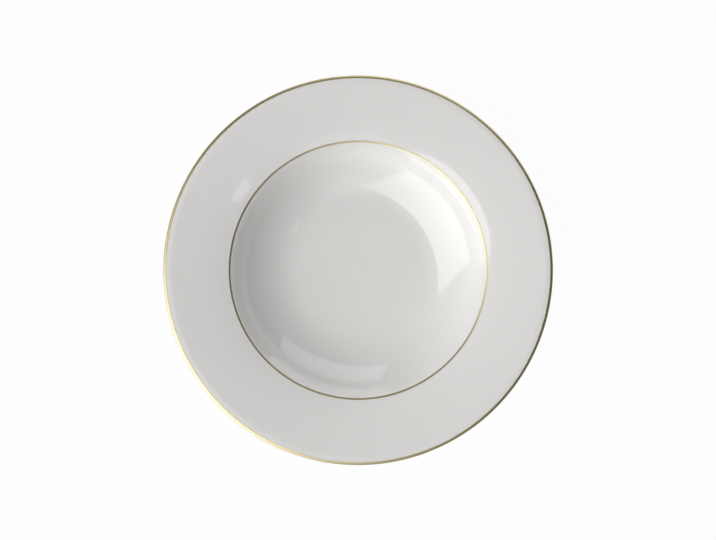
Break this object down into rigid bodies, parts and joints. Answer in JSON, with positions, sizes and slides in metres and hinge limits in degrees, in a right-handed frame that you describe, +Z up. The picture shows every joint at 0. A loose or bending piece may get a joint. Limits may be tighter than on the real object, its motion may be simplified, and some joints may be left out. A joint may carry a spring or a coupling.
{
  "type": "deep plate",
  "caption": "Deep round plate of glazed white porcelain with a wide, gently rising rim, a rounded well, a foot ring and fine gold lines on the lip and the verge.",
  "frame": {"origin": "on the plate's axis, on the surface that its foot ring stands on", "axes": "+Z up along the plate's axis; the plate is round, so X and Y are any two directions across it"},
  "size_m": [0.2402, 0.2402, 0.0359],
  "materials": {
    "porcelain": "bare fired porcelain, matte and fine-grained",
    "glaze": "clear gloss glaze over white porcelain",
    "gold": "thin pale gold with a satin sheen, fired on"
  },
  "bodies": {
    "root": {"porcelain_body": "porcelain", "plate_glaze": "glaze", "base_glaze": "glaze", "rim_gold_line": "gold", "verge_gold_line": "gold"}
  },
  "joints": []
}
